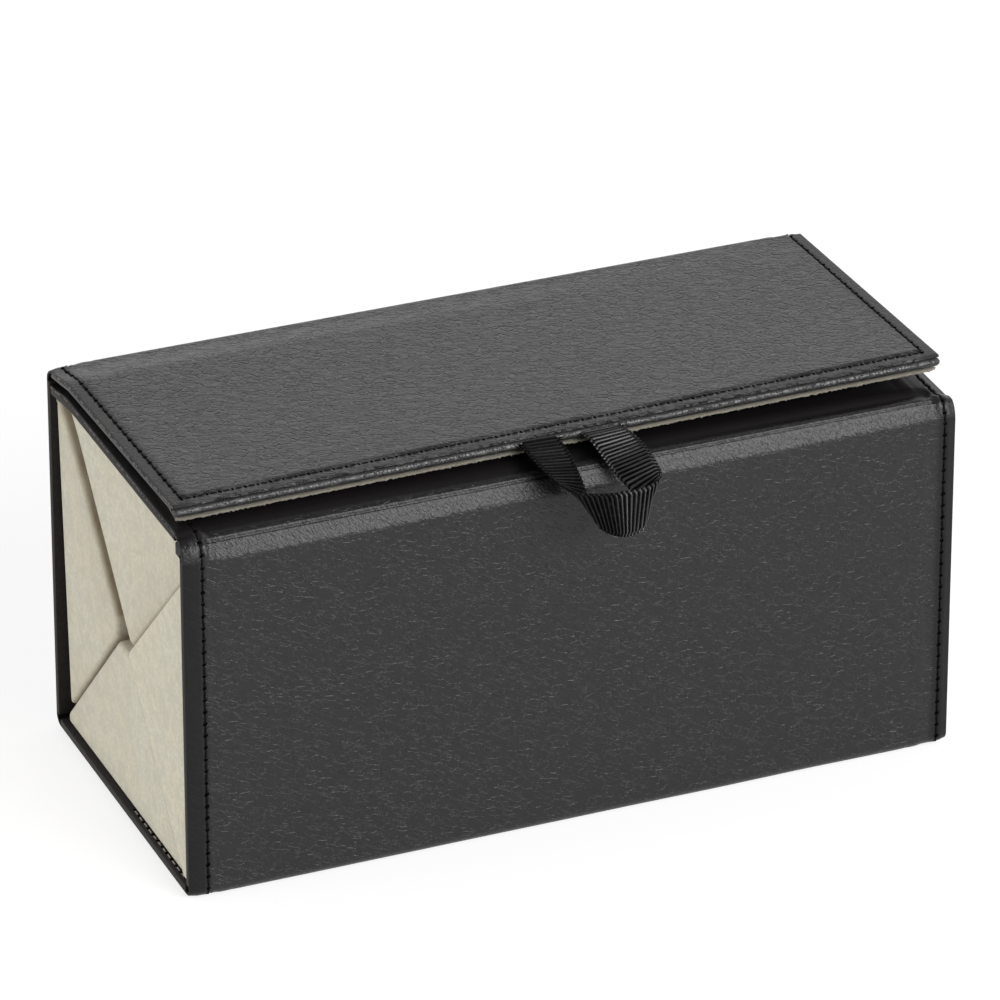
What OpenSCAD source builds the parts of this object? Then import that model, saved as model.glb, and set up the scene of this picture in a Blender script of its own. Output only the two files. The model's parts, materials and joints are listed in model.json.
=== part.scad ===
// Roll-up jewelry box: five board-stiffened panels in a leather wrap, four of them
// with a triangular suede tray, so that the trays meet in an X when it is rolled up.
// Axes: X along the length, -Y to the front, Z up, the base on Z = 0.

/* [Case] */
// Length of the panels, end to end
case_w = 230; // [180:1:300]
// Depth from the front panel to the back panel, outside
case_d = 109; // [105:0.5:120]
// Height from the base to the top of the inner lid
case_h = 112.5; // [110:0.5:120]
// Outside radius of the leather folds along the corners
fold_r = 4; // [3.5:0.1:5]

/* [Wrap layers] */
// Thickness of the outer leather
leather_t = 1; // [0.8:0.1:1.2]
// Thickness of the stiffening boards
board_t = 1.6; // [1.2:0.1:2]
// Thickness of the inner leather
liner_t = 0.6; // [0.5:0.1:0.8]
// Width of the stitched border that has no board in it
border_w = 8; // [6:0.5:10]
// Thickness of the leather strip in a fold
fold_t = 1.8; // [1.4:0.1:2.2]

/* [Flap] */
// Gap between the inner lid and the lining of the flap
flap_gap = 0.6; // [0.4:0.1:1]
// Setback of the flap's front edge from the front panel
flap_setback = 11; // [6:0.5:20]
// Thickness of the suede lining
lining_t = 1.2; // [1:0.1:1.6]
// Thickness of the flap's leather top
flap_top_t = 1.1; // [0.8:0.1:1.4]
// Diameter of the closure magnets and of the plates they hold on to
magnet_d = 12; // [8:0.5:14]
// Distance of the magnets from the middle of the flap
magnet_x = 70; // [40:1:90]
// Distance of the magnets from the flap's front edge
magnet_in = 16; // [14:1:24]

/* [Ribbon pull] */
// Width of the ribbon
ribbon_w = 12.4; // [10:0.1:15]
// Thickness of the ribbon
ribbon_t = 0.9; // [0.7:0.1:1.2]
// Place of the loop along the flap
pull_x = 2.4; // [-20:0.1:20]
// Gap between the two legs of the loop
leg_gap = 5.9; // [4:0.1:10]
// Reach of the loop in front of the front panel
pull_reach = 14; // [12:0.5:15]
// Drop from the sewn ends to the top of the hanging band
pull_drop = 4.6; // [3:0.1:5]

/* [Trays] */
// Thickness of the suede-covered tray boards
tray_t = 2; // [1.6:0.1:2.4]
// Top tray: base width, start and end of its blunt tip, height
top_tray = [100.5, 49.1, 51.5, 56.7]; // [40:0.1:110]
// Front tray: base width, start and end of its blunt tip, height
front_tray = [96.1, 49.2, 50.6, 45.7]; // [40:0.1:110]
// Bottom tray: base width, start and end of its blunt tip, height
bottom_tray = [96.7, 46.7, 56.9, 48.4]; // [40:0.1:110]
// Back tray: base width, start and end of its blunt tip, height
back_tray = [101.1, 50.4, 57.2, 44.9]; // [40:0.1:110]
// Height of the closed side's square foot: top, front, bottom and back tray
foot_h = [8.7, 4.7, 3.4, 1.4]; // [1:0.1:10]
// Distance from the panel ends to the tray ends: top, front, bottom and back tray
end_inset = [4, 2, 4, 4.6]; // [1.5:0.1:6]
// Height of the lip along the open side
lip_h = 9; // [6:0.5:12]
// Thickness of the lip
lip_t = 1.8; // [1.4:0.1:2.4]
// Thickness of the dividers
divider_t = 2; // [1.6:0.1:2.4]
// How far up the closed side a divider reaches, as a share of its height
divider_reach = 0.88; // [0.6:0.01:0.95]

/* [Ring rolls] */
// Number of padded rolls in the back tray
roll_n = 6; // [2:1:6]
// Diameter of a roll
roll_d = 10; // [8:0.2:10]
// Distance between the centres of two rolls
roll_pitch = 10.6; // [10.4:0.1:11]
// Distance from the tray's closed side to the first roll's centre
roll_start = 17.2; // [17:0.1:18]

/* [Hidden] */
$fn = 64;
panel_t = leather_t + board_t + liner_t;
half_d = case_d / 2;
// The loop reaches out in front, so the case stands back from the origin by half of it
case_y = pull_reach / 2;

// Inner faces of the four panels
in_front = -half_d + panel_t;
in_back = half_d - panel_t;
in_floor = panel_t;
in_roof = case_h - panel_t;
lid_back_gap = 0.5;
back_top_z = case_h + 0.5;

// Levels in the flap
lining_z = case_h + flap_gap;
flap_z = lining_z + lining_t;
flap_board_t = 1.6;
flap_top_z = flap_z + flap_board_t + flap_top_t;
flap_front = -half_d + flap_setback;
flap_back = half_d - fold_r;
rim_w = 2;
magnet_t = 1.4;
plate_t = 0.8;
magnet_y = flap_front + magnet_in;

// Ribbon
leg_in = leg_gap / 2;
pivot_gap = 0.9;
pivot_y = flap_front - pivot_gap;
tail_len = 10;
band_clear = 2.4;
band_lean = 12.6;
loop_r = leg_in + ribbon_w;
ring_y = -half_d - pull_reach + loop_r;
band_top = flap_z + ribbon_t - pull_drop;
leg_end = -half_d - 7.5;

// Clearance between the trays of different panels and under the inner lid
foot_gap = 0.1;
lid_clear = 0.4;

// Each tray: corner of its closed side, direction along the base, direction to the tip,
// base width, tip start, tip end, height, foot and end inset
TOP = [[in_front, in_roof], [1, 0], [0, -1], top_tray, foot_h[0], end_inset[0]];
FRONT = [[in_front, in_floor + foot_gap], [0, 1], [1, 0], front_tray, foot_h[1], end_inset[1]];
BOTTOM = [[in_back, in_floor], [-1, 0], [0, 1], bottom_tray, foot_h[2], end_inset[2]];
BACK = [[in_back, in_roof - lid_clear], [0, -1], [-1, 0], back_tray, foot_h[3], end_inset[3]];

// Places of the dividers along X
thirds = [-0.33, 0.33];
roll_bay = -0.12;

// Colours
leather = "#2f2e30";
liner = "#26241f";
board = "#8d7c63";
suede = "#c4bda6";
grosgrain = "#1c1b1c";
steel = "#a8aaad";

WRAP = ["bottom_leather", "bottom_board", "bottom_liner", "front_leather", "front_board",
    "front_liner", "inner_lid_leather", "inner_lid_board", "inner_lid_liner", "closure_plates",
    "front_bottom_fold", "front_top_fold", "back_bottom_fold", "back_top_fold",
    "back_leather", "back_board", "back_liner"];
FLAP = ["flap_leather", "flap_board", "flap_lining", "flap_magnets", "ribbon_tails", "pull_ribbon"];
TRAYS = ["top_tray", "front_tray", "bottom_tray", "back_tray"];
TRAY_PARTS = ["floor", "wall", "lip", "left_end", "right_end"];

// ---------- helpers ----------

// Extrudes a profile drawn in Y and Z along X
module along_x(x0, x1) {
    translate([x0, case_y, 0]) rotate([90, 0, 90]) linear_extrude(x1 - x0) children();
}

// A box given by two opposite corners
module box(low, high) {
    translate([low[0], low[1] + case_y, low[2]]) cube(high - low);
}

// A cylinder along Z
module disc(x, y, z, d, h) {
    translate([x, y + case_y, z]) cylinder(d = d, h = h);
}

// Quarter of a ring that carries the leather round a corner at centre c
module fold_strip(c, quadrant) {
    along_x(-case_w / 2, case_w / 2) intersection() {
        translate(c) difference() {
            circle(r = fold_r);
            circle(r = fold_r - fold_t);
        }
        translate(c + [quadrant[0] > 0 ? 0 : -fold_r, quadrant[1] > 0 ? 0 : -fold_r])
            square(fold_r);
    }
}

// The board of a panel: narrower than the leather by the stitched borders
module panel_core(low, high) {
    box([-case_w / 2 + border_w, low[0], low[1]], [case_w / 2 - border_w, high[0], high[1]]);
}

// The inner leather of a panel, with the thicker stitched borders beside the board.
// low and high are the liner's own corners, core_low and core_high those of the board.
module panel_liner(low, high, core_low, core_high) {
    union() {
        box([-case_w / 2, low[0], low[1]], [case_w / 2, high[0], high[1]]);
        for (x = [-case_w / 2, case_w / 2 - border_w])
            box([x, core_low[0], core_low[1]], [x + border_w, core_high[0], core_high[1]]);
    }
}

// A point of a tray's own base line and height, in Y and Z
function at(tray, p) = tray[0] + p[0] * tray[1] + p[1] * tray[2];
function along(p, q, d) = p + d * (q - p) / norm(q - p);

// Corner points of a tray in its own plane
function tray_base(tray) = [tray[3][0], 0];
function tip_a(tray) = [tray[3][1], tray[3][3]];
function tip_b(tray) = [tray[3][2], tray[3][3]];
function open_foot(tray) = along(tray_base(tray), tip_b(tray), tray_t / sin_open(tray));
function sin_open(tray) = tray[3][3] / norm(tip_b(tray) - tray_base(tray));
function wall_tip(tray) = along(tip_b(tray), tray_base(tray), 2.4);
function wall_foot(tray) = [1.2, tray_t];
function lip_foot(tray) = open_foot(tray) - [lip_t / sin_open(tray), 0];
function lip_tip(tray) = along(open_foot(tray), tip_b(tray), lip_h);

module tray_prism(tray, points, x0, x1) {
    along_x(x0, x1) polygon([for (p = points) at(tray, p)]);
}

function tray_left(tray) = -case_w / 2 + tray[5];
function inner_left(tray) = tray_left(tray) + tray_t;

// ---------- tray pieces ----------

module tray_floor(tray) {
    color(suede) tray_prism(tray, [[0, 0], [0, tray_t], open_foot(tray), tray_base(tray)],
        inner_left(tray), -inner_left(tray));
}

module tray_wall(tray) {
    color(suede) tray_prism(tray, [[0, tray_t], [0, max(tray[4], tray_t + 0.1)], tip_a(tray),
        tip_b(tray), wall_tip(tray), wall_foot(tray)], inner_left(tray), -inner_left(tray));
}

module tray_lip(tray) {
    inner_tip = lip_tip(tray) - (open_foot(tray) - lip_foot(tray));
    color(suede) tray_prism(tray, [open_foot(tray), lip_tip(tray), inner_tip, lip_foot(tray)],
        inner_left(tray), -inner_left(tray));
}

module tray_end(tray, side) {
    x0 = side < 0 ? tray_left(tray) : -inner_left(tray);
    color(suede) tray_prism(tray, [[0, 0], [0, tray[4]], tip_a(tray), tip_b(tray),
        tray_base(tray)], x0, x0 + tray_t);
}

module tray_divider(tray, share) {
    x = share * case_w / 2;
    top = wall_foot(tray) + divider_reach * (wall_tip(tray) - wall_foot(tray));
    color(suede) tray_prism(tray, [wall_foot(tray), top, lip_foot(tray)],
        x - divider_t / 2, x + divider_t / 2);
}

// One padded roll along X on the floor of the back tray
module ring_roll(i) {
    centre = at(BACK, [roll_start + (i - 1) * roll_pitch, tray_t + roll_d / 2]);
    color(suede) along_x(inner_left(BACK), roll_bay * case_w / 2 - divider_t / 2)
        translate(centre) circle(d = roll_d);
}

// ---------- wrap ----------

module bottom_leather() {
    color(leather) box([-case_w / 2, -half_d + fold_r, 0], [case_w / 2, half_d - fold_r, leather_t]);
}

module bottom_board() {
    color(board) panel_core([-half_d + fold_r, leather_t], [half_d - fold_r, leather_t + board_t]);
}

module bottom_liner() {
    color(liner) panel_liner([-half_d + fold_r, leather_t + board_t], [half_d - fold_r, panel_t],
        [-half_d + fold_r, leather_t], [half_d - fold_r, leather_t + board_t]);
}

module front_leather() {
    color(leather) box([-case_w / 2, -half_d, fold_r],
        [case_w / 2, -half_d + leather_t, case_h - fold_r]);
}

module front_board() {
    color(board) panel_core([-half_d + leather_t, fold_r], [in_front - liner_t, case_h - fold_r]);
}

module front_liner() {
    color(liner) panel_liner([in_front - liner_t, fold_r], [in_front, case_h - fold_r],
        [-half_d + leather_t, fold_r], [in_front - liner_t, case_h - fold_r]);
}

module inner_lid_leather() {
    color(leather) box([-case_w / 2, -half_d + fold_r, case_h - leather_t],
        [case_w / 2, in_back - lid_back_gap, case_h]);
}

module inner_lid_board() {
    color(board) difference() {
        panel_core([-half_d + fold_r, in_roof + liner_t], [in_back - lid_back_gap, case_h - leather_t]);
        plate_discs();
    }
}

module inner_lid_liner() {
    color(liner) panel_liner([-half_d + fold_r, in_roof], [in_back - lid_back_gap, in_roof + liner_t],
        [-half_d + fold_r, in_roof + liner_t], [in_back - lid_back_gap, case_h - leather_t]);
}

module plate_discs() {
    for (s = [-1, 1]) disc(s * magnet_x, magnet_y, case_h - leather_t - plate_t, magnet_d, plate_t);
}

module closure_plates() {
    color(steel) plate_discs();
}

module front_bottom_fold() {
    color(leather) fold_strip([-half_d + fold_r, fold_r], [-1, -1]);
}

module front_top_fold() {
    color(leather) fold_strip([-half_d + fold_r, case_h - fold_r], [-1, 1]);
}

module back_bottom_fold() {
    color(leather) fold_strip([half_d - fold_r, fold_r], [1, -1]);
}

module back_top_fold() {
    color(leather) fold_strip([half_d - fold_r, flap_top_z - fold_r], [1, 1]);
}

module back_leather() {
    color(leather) box([-case_w / 2, half_d - leather_t, fold_r], [case_w / 2, half_d, back_top_z]);
}

module back_board() {
    color(board) panel_core([in_back + liner_t, fold_r], [half_d - leather_t, case_h]);
}

module back_liner() {
    color(liner) panel_liner([in_back, fold_r], [in_back + liner_t, case_h],
        [in_back + liner_t, fold_r], [half_d - leather_t, case_h]);
}

// ---------- flap ----------

// Leather top with a rolled front edge and rims that close over the board
module flap_leather() {
    edge_r = (flap_board_t + flap_top_t) / 2;
    color(leather) difference() {
        union() {
            along_x(-case_w / 2, case_w / 2) translate([flap_front + edge_r, flap_z + edge_r])
                circle(r = edge_r);
            box([-case_w / 2, flap_front + edge_r, flap_z], [case_w / 2, flap_back, flap_top_z]);
        }
        board_pocket();
        tail_boxes();
    }
}

module board_pocket() {
    box([-case_w / 2 + border_w, flap_front + rim_w, flap_z],
        [case_w / 2 - border_w, flap_back - rim_w, flap_z + flap_board_t]);
}

module flap_board() {
    color(board) difference() {
        board_pocket();
        tail_boxes();
        magnet_discs();
    }
}

module flap_lining() {
    inset = 0.8;
    color(suede) box([-case_w / 2 + inset, flap_front + inset, lining_z],
        [case_w / 2 - inset, flap_back, flap_z]);
}

module magnet_discs() {
    for (s = [-1, 1]) disc(s * magnet_x, magnet_y, flap_z, magnet_d, magnet_t);
}

module flap_magnets() {
    color(steel) magnet_discs();
}

// The two ends of the ribbon, sewn in between the leather and the lining
module tail_boxes() {
    for (x = [pull_x - loop_r, pull_x + leg_in])
        box([x, flap_front, flap_z], [x + ribbon_w, flap_front + tail_len, flap_z + ribbon_t]);
}

module ribbon_tails() {
    color(grosgrain) tail_boxes();
}

// Outline of the loop from above: round in front, straight back to the flap
module loop_outline() {
    translate([pull_x, case_y + ring_y]) circle(r = loop_r);
    translate([pull_x - loop_r, case_y + ring_y]) square([2 * loop_r, pivot_y - ring_y]);
}

// Two flat legs that slope down from the flap
module ribbon_legs() {
    drop = pull_drop;
    run = pivot_y - leg_end;
    reach = norm([drop, run]);
    intersection() {
        for (x = [pull_x - loop_r, pull_x + leg_in])
            translate([x, pivot_y + case_y, flap_z + ribbon_t / 2]) rotate([atan(drop / run), 0, 0])
                translate([0, -reach, -ribbon_t / 2]) cube([ribbon_w, reach, ribbon_t]);
        translate([0, 0, band_top - ribbon_w]) linear_extrude(2 * ribbon_w) loop_outline();
    }
}

// Band that hangs in front of the legs and narrows to its lower edge
module ribbon_band() {
    low = band_top - ribbon_w;
    intersection() {
        translate([pull_x, case_y + ring_y, low]) difference() {
            cylinder(r = loop_r, h = ribbon_w);
            translate([0, 0, -1]) cylinder(r = loop_r - ribbon_t, h = ribbon_w + 2);
        }
        along_x(pull_x - loop_r, pull_x + loop_r) polygon([[-half_d - pull_reach, low],
            [-half_d - band_lean, low], [-half_d - band_clear, band_top],
            [-half_d - pull_reach, band_top]]);
    }
}

module pull_ribbon() {
    color(grosgrain) union() {
        ribbon_legs();
        ribbon_band();
    }
}

// ---------- nodes ----------

bottom_leather();
bottom_board();
bottom_liner();
front_leather();
front_board();
front_liner();
inner_lid_leather();
inner_lid_board();
inner_lid_liner();
closure_plates();
front_bottom_fold();
front_top_fold();
back_bottom_fold();
back_top_fold();
back_leather();
back_board();
back_liner();
flap_leather();
flap_board();
flap_lining();
flap_magnets();
ribbon_tails();
pull_ribbon();
for (t = [0:3]) {
    tray = [TOP, FRONT, BOTTOM, BACK][t];
    name = TRAYS[t];
    tray_floor(tray);
    tray_wall(tray);
    tray_lip(tray);
    tray_end(tray, -1);
    tray_end(tray, 1);
    if (t < 3) for (i = [1, 2])
        tray_divider(tray, thirds[i - 1]);
}
tray_divider(BACK, roll_bay);  // back_tray_divider
for (i = [1:roll_n])
    ring_roll(i);
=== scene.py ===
"""Looks of a roll-up jewelry box: grained leather wrap, suede trays, stitched borders and a
grosgrain ribbon pull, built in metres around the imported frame."""
import json
import math
import random
import bmesh
import bpy
import numpy as np
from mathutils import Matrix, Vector, geometry, noise


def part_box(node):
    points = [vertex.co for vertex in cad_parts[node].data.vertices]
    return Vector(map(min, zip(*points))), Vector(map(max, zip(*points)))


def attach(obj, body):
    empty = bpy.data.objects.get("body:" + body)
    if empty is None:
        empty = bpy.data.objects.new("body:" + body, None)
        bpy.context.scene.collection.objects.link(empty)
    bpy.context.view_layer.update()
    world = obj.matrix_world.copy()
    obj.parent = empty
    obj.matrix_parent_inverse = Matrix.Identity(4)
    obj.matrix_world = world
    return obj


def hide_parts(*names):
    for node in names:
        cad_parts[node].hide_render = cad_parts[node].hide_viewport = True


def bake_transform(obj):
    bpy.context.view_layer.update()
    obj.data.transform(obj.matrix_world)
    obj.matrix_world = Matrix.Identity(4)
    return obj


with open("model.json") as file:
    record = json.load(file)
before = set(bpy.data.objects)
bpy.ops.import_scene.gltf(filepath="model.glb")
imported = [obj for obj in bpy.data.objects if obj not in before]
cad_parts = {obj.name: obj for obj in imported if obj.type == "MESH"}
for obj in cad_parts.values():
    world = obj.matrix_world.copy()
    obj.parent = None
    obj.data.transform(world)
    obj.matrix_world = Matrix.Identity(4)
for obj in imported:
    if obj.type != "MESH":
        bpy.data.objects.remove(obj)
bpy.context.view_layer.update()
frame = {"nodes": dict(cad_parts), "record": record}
MM = 0.001
rng = random.Random(7)

# ---------- sizes from the frame ----------
front_lo, front_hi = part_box("front_leather")
fold_lo, fold_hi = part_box("front_bottom_fold")
flap_lo, flap_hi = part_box("flap_leather")
lining_lo, lining_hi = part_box("flap_lining")
pull_lo, pull_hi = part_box("pull_ribbon")
lid_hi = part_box("inner_lid_leather")[1]
HALF_W = front_hi.x
Y_FRONT, Y_BACK = front_lo.y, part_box("back_leather")[1].y
Z_LID = lid_hi.z
LEATHER_T = front_hi.y - front_lo.y
FOLD_R = fold_hi.z - fold_lo.z
BORDER_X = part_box("front_board")[1].x     # the boards end here, the stitched borders begin
FLAP_FRONT, FLAP_BACK, FLAP_TOP, FLAP_LOW = flap_lo.y, flap_hi.y, flap_hi.z, flap_lo.z
STITCH_IN = 4.5 * MM                      # from the panel end to the seam
STITCH_X = HALF_W - STITCH_IN
PITCH = 3.7 * MM                          # of the stitches
FLAP_SEAM_IN = 3.8 * MM
SEAM_SHIFT = 1.1 * MM                     # the border seams were sewn a little to the right
THREAD_R = 0.22 * MM
RIBBON_W = 12.4 * MM

# How the wrap has sat down in use, in mm
LID_SINK = 2.7                            # of the lid at its right end
BACK_SINK = 2.0                           # of lid and flap at their back edge, at the left end
BORDER_DROOP = 1.0                        # of the right border at the top corner
FLAP_SHIFT = (1.0, -2.0)                  # of the flap's front edge at the left end, in X and Y
FLAP_SKEW = 4.2                           # how much further back that edge is at the right end

# ---------- light ----------
BACKDROP, ROOM, CEILING = 1.38, 0.2, 0.4  # radiance behind and at the camera's side, share overhead
KEY = (27, 28, 1.5, (1.2, 0.8), 9.0)      # azimuth, elevation, distance, size, radiance
SIDE = (-85, 22, 1.8, (1.2, 1.0), 2.4)
FLOOR_GLOW = 0.74


# ---------- small helpers ----------
def smooth(t):
    t = np.clip(t, 0, 1)
    return t * t * (3 - 2 * t)


def bump_line(d, width):
    return np.exp(-(d / width) ** 2)


def wavy(x, y, z, scale, seed=0.0):
    """Smooth noise in -1..1 at each point; scale is the size of its waves in metres."""
    x, y, z = np.broadcast_arrays(x, y, z)
    flat = [noise.noise(Vector((a / scale + seed, b / scale, c / scale)))
            for a, b, c in zip(x.ravel(), y.ravel(), z.ravel())]
    return np.array(flat).reshape(x.shape)


def settle(co):
    """The wrap as it has sat down in use: the lid sinks to the right, the flap rises to its
    front edge and is a little skew, and the right border droops."""
    co = np.array(co, float)
    x, y, z = co.T
    u = np.clip((x + HALF_W) / (2 * HALF_W), 0, 1)
    t = np.clip((y - FLAP_FRONT) / (FLAP_BACK - FLAP_FRONT), 0, 1)
    back_edge = (1 - u) * BACK_SINK * smooth((t - 0.85) / 0.15)
    flap = (1 - u) * (1.1 - 1.2 * t) + u * (0.4 - 3.2 * t) - back_edge
    behind_crease = smooth((y - Y_FRONT - 2 * MM) / (6 * MM))
    lid = -LID_SINK * u ** 1.5 * behind_crease - back_edge
    height = smooth((z - 45 * MM) / (60 * MM))
    droop = smooth((x - 106 * MM) / (9 * MM)) * smooth((z - 101 * MM) / (8 * MM))
    lid = lid * height - BORDER_DROOP * droop
    above = smooth((z - Z_LID) / (0.6 * MM))
    co[:, 2] += MM * (lid * (1 - above) + flap * above)
    co[:, 0] += MM * above * (1 - t) * FLAP_SHIFT[0]
    co[:, 1] += MM * above * (1 - t) * (FLAP_SKEW * u + FLAP_SHIFT[1])
    return co


def lengths_along(points):
    """The length of a line up to each of its points."""
    return np.concatenate([[0], np.cumsum(np.linalg.norm(np.diff(points, axis=0), axis=1))])


def sampled(at, length, points):
    """Points at the given lengths along a line."""
    return np.stack([np.interp(at, length, column) for column in np.array(points).T], -1)


def new_piece(name, verts, faces, material, attributes=None, settled=True, angle=35):
    """A mesh object from vertices and faces, with named vertex attributes. It is smooth, apart
    from edges sharper than the angle."""
    me = bpy.data.meshes.new(name)
    co = settle(verts) if settled else np.array(verts, float)
    me.from_pydata([tuple(v) for v in co], [], [tuple(int(i) for i in f) for f in faces])
    for key, values in (attributes or {}).items():
        values = np.array(values, np.float32)
        kind, field = ("FLOAT", "value") if values.ndim == 1 else ("FLOAT_VECTOR", "vector")
        me.attributes.new(key, kind, "POINT").data.foreach_set(field, values.ravel())
    me.materials.append(material)
    me.update()
    me.validate()
    obj = bpy.data.objects.new(name, me)
    bpy.context.scene.collection.objects.link(obj)
    bm = bmesh.new()
    bm.from_mesh(me)
    bmesh.ops.recalc_face_normals(bm, faces=bm.faces)
    bm.to_mesh(me)
    bm.free()
    me.polygons.foreach_set("use_smooth", [True] * len(me.polygons))
    me.set_sharp_from_angle(angle=math.radians(angle))
    return obj


class Parts:
    """Collects vertices, faces and attributes of several closed forms for one mesh."""

    def __init__(self):
        self.co, self.faces, self.hide = [], [], []

    def add(self, verts, faces, hide=None):
        base = len(self.co)
        self.co.extend(verts)
        self.faces.extend([[base + i for i in f] for f in faces])
        self.hide.extend(hide if hide is not None else [(v[0], v[1] + v[2], 0) for v in verts])


def ring_faces(rows, cols, caps=True):
    """Quads round a tube of rows x cols vertices, and its end caps."""
    faces = []
    for i in range(rows - 1):
        for j in range(cols):
            k = (j + 1) % cols
            faces.append((i * cols + j, i * cols + k, (i + 1) * cols + k, (i + 1) * cols + j))
    if caps:
        faces.append(tuple(range(cols))[::-1])
        faces.append(tuple((rows - 1) * cols + j for j in range(cols)))
    return faces


# ---------- materials ----------
def material(name):
    mat = bpy.data.materials.new(name)
    mat.use_nodes = True
    tree = mat.node_tree
    return mat, tree, tree.nodes["Principled BSDF"]


def set_inputs(tree, made, inputs):
    """Link a socket to each input, or set the input's value."""
    for key, value in inputs.items():
        if isinstance(value, bpy.types.NodeSocket):
            tree.links.new(value, made.inputs[key])
        else:
            made.inputs[key].default_value = value


def node(tree, kind, inputs=None, **props):
    made = tree.nodes.new(kind)
    for key, value in props.items():
        setattr(made, key, value)
    set_inputs(tree, made, inputs or {})
    return made


def attribute(tree, name, output="Fac"):
    return node(tree, "ShaderNodeAttribute", attribute_name=name).outputs[output]


def maths(tree, op, a, b=0.0, clamp=False):
    return node(tree, "ShaderNodeMath", {0: a, 1: b}, operation=op, use_clamp=clamp).outputs[0]


def times(tree, a, b, clamp=False):
    return maths(tree, "MULTIPLY", a, b, clamp)


def ranged(tree, value, lo, hi, out_lo=0.0, out_hi=1.0):
    made = node(tree, "ShaderNodeMapRange", {"Value": value, "From Min": lo, "From Max": hi,
                "To Min": out_lo, "To Max": out_hi}, interpolation_type="SMOOTHSTEP")
    return made.outputs[0]


def mixed(tree, factor, a, b):
    return node(tree, "ShaderNodeMix", {0: factor, 6: a, 7: b}, data_type="RGBA").outputs[2]


def noise_of(tree, vector, scale, detail=3.0, dims="3D", rough=0.5, output="Fac"):
    return node(tree, "ShaderNodeTexNoise", {"Vector": vector, "Scale": scale, "Detail": detail,
                "Roughness": rough}, noise_dimensions=dims).outputs[output]


def bumped(tree, height, strength, distance):
    return node(tree, "ShaderNodeBump", {"Height": height, "Strength": strength,
                "Distance": distance}).outputs[0]


def vector_maths(tree, op, inputs):
    return node(tree, "ShaderNodeVectorMath", inputs, operation=op).outputs[0]


def pebbles(tree, hide, angle, cell, bend):
    """Coordinates whose unit cells are pebbles of the given size, stretched along a slant, and
    bent by a noise that wanders around zero."""
    turned = node(tree, "ShaderNodeMapping", {"Vector": hide,
                  "Rotation": (0, 0, math.radians(-angle))}).outputs[0]
    cells = node(tree, "ShaderNodeMapping", {"Vector": turned,
                 "Scale": (1 / (cell[0] * MM), 1 / (cell[1] * MM), 1.0)}).outputs[0]
    raw = noise_of(tree, cells, 1.1, 2.0, "2D", output="Color")
    wander = vector_maths(tree, "SUBTRACT", {0: raw, 1: (0.5, 0.5, 0.5)})
    wander = vector_maths(tree, "SCALE", {0: wander, "Scale": bend})
    return vector_maths(tree, "ADD", {0: cells, 1: wander})


def crack(tree, cells, width):
    """0 in the creases between pebbles, 1 on top of them."""
    edge = node(tree, "ShaderNodeTexVoronoi", {"Vector": cells, "Scale": 1.0},
                voronoi_dimensions="2D", feature="DISTANCE_TO_EDGE").outputs["Distance"]
    return ranged(tree, edge, 0.0, width)


CUT_BROWN = (0.012, 0.0085, 0.0075, 1)
WORN_BEIGE = (0.24, 0.215, 0.18, 1)
GRAIN_DEPTH = 0.15 * MM


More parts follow.
